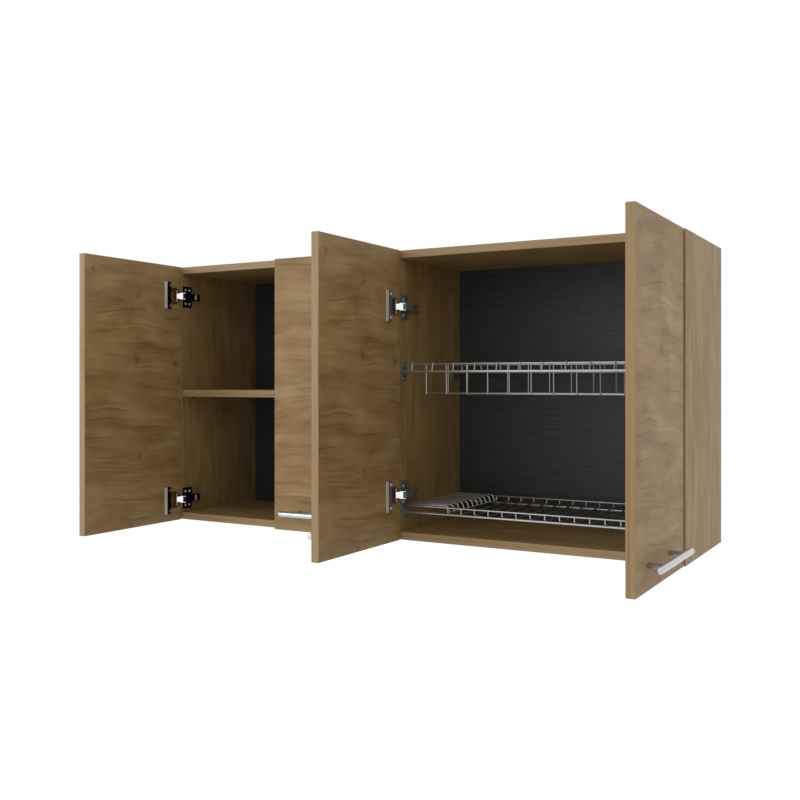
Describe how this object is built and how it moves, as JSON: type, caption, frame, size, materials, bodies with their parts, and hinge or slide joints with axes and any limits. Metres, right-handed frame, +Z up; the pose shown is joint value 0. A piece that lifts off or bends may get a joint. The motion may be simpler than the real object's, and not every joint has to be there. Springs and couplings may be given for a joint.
{
  "type": "kitchen wall cabinet",
  "caption": "Wall-hung kitchen cabinet of two joined carcases with oak doors on concealed hinges, bar handles, a shelf, a wire plate rack and a wire cup tray.",
  "frame": {"origin": "on the wall plane, on the seam between the two carcases, level with their underside", "axes": "+X to the right seen from the front, +Y into the wall, +Z up"},
  "size_m": [1.2624, 0.6002, 0.6],
  "materials": {
    "oak_board": "matt printed oak grain",
    "back_board": "matt anthracite sheet",
    "plain_steel": "zinc plated",
    "dark_steel": "black nickel",
    "grey_steel": "dark grey nickel",
    "bright_link": "bright nickel",
    "bright_wire": "chromed wire",
    "satin_bar": "satin",
    "grey_plastic": "moulded"
  },
  "bodies": {
    "carcases": {"left_cabinet_left_side": "oak_board", "left_cabinet_right_side": "oak_board", "left_cabinet_bottom": "oak_board", "left_cabinet_top": "oak_board", "left_cabinet_back": "back_board", "left_cabinet_hanger_left": "plain_steel", "left_cabinet_hanger_right": "plain_steel", "right_cabinet_left_side": "oak_board", "right_cabinet_right_side": "oak_board", "right_cabinet_bottom": "oak_board", "right_cabinet_top": "oak_board", "right_cabinet_back": "back_board", "right_cabinet_hanger_left": "plain_steel", "right_cabinet_hanger_right": "plain_steel", "shelf": "oak_board", "hinge_arm_1_lower": "dark_steel", "hinge_arm_1_upper": "dark_steel", "hinge_arm_2_lower": "dark_steel", "hinge_arm_2_upper": "dark_steel", "hinge_arm_3_lower": "grey_steel", "hinge_arm_3_upper": "grey_steel", "hinge_arm_4_lower": "grey_steel", "hinge_arm_4_upper": "grey_steel", "plate_rack": "bright_wire", "plate_bracket_left_front": "grey_plastic", "plate_bracket_left_rear": "grey_plastic", "plate_bracket_right_front": "grey_plastic", "plate_bracket_right_rear": "grey_plastic", "cup_rack": "bright_wire", "cup_bracket_left_front": "grey_plastic", "cup_bracket_left_rear": "grey_plastic", "cup_bracket_right_front": "grey_plastic", "cup_bracket_right_rear": "grey_plastic"},
    "door_1_leaf": {"door_1": "oak_board", "handle_1": "satin_bar", "hinge_cup_1_lower": "dark_steel", "hinge_cup_1_upper": "dark_steel"},
    "door_1_links": {"hinge_link_1_lower": "bright_link", "hinge_link_1_upper": "bright_link"},
    "door_2_leaf": {"door_2": "oak_board", "handle_2": "satin_bar", "hinge_cup_2_lower": "dark_steel", "hinge_cup_2_upper": "dark_steel"},
    "door_2_links": {"hinge_link_2_lower": "bright_link", "hinge_link_2_upper": "bright_link"},
    "door_3_leaf": {"door_3": "oak_board", "handle_3": "satin_bar", "hinge_cup_3_lower": "grey_steel", "hinge_cup_3_upper": "grey_steel"},
    "door_3_links": {"hinge_link_3_lower": "bright_link", "hinge_link_3_upper": "bright_link"},
    "door_4_leaf": {"door_4": "oak_board", "handle_4": "satin_bar", "hinge_cup_4_lower": "grey_steel", "hinge_cup_4_upper": "grey_steel"},
    "door_4_links": {"hinge_link_4_lower": "bright_link", "hinge_link_4_upper": "bright_link"}
  },
  "joints": [
    {"name": "door_1_swing", "type": "hinge", "parent": "carcases", "child": "door_1_leaf", "pos_m": [-0.5922, -0.3127, 0], "axis": [0, 0, -1], "range_deg": [-90, 20]},
    {"name": "door_1_links_swing", "type": "hinge", "parent": "carcases", "child": "door_1_links", "pos_m": [-0.56752, -0.30872, 0], "axis": [0, 0, -1], "range_deg": [-11.4, 49.7]},
    {"name": "door_2_swing", "type": "hinge", "parent": "carcases", "child": "door_2_leaf", "pos_m": [-0.0082, -0.3127, 0], "axis": [0, 0, 1], "range_deg": [0, 34]},
    {"name": "door_2_links_swing", "type": "hinge", "parent": "carcases", "child": "door_2_links", "pos_m": [-0.03288, -0.30872, 0], "axis": [0, 0, 1], "range_deg": [-19.1, 0]},
    {"name": "door_3_swing", "type": "hinge", "parent": "carcases", "child": "door_3_leaf", "pos_m": [0.0082, -0.3127, 0], "axis": [0, 0, -1], "range_deg": [-90, 0]},
    {"name": "door_3_links_swing", "type": "hinge", "parent": "carcases", "child": "door_3_links", "pos_m": [0.03288, -0.30872, 0], "axis": [0, 0, -1], "range_deg": [0, 49.7]},
    {"name": "door_4_swing", "type": "hinge", "parent": "carcases", "child": "door_4_leaf", "pos_m": [0.5922, -0.3127, 0], "axis": [0, 0, 1], "range_deg": [-90, 20]},
    {"name": "door_4_links_swing", "type": "hinge", "parent": "carcases", "child": "door_4_links", "pos_m": [0.56752, -0.30872, 0], "axis": [0, 0, 1], "range_deg": [-11.4, 49.7]}
  ],
  "couplings": [
    {"joint": "door_1_links_swing", "follows": "door_1_swing", "ratio": -0.54656},
    {"joint": "door_2_links_swing", "follows": "door_2_swing", "ratio": -0.54656},
    {"joint": "door_3_links_swing", "follows": "door_3_swing", "ratio": -0.54656},
    {"joint": "door_4_links_swing", "follows": "door_4_swing", "ratio": -0.54656}
  ]
}
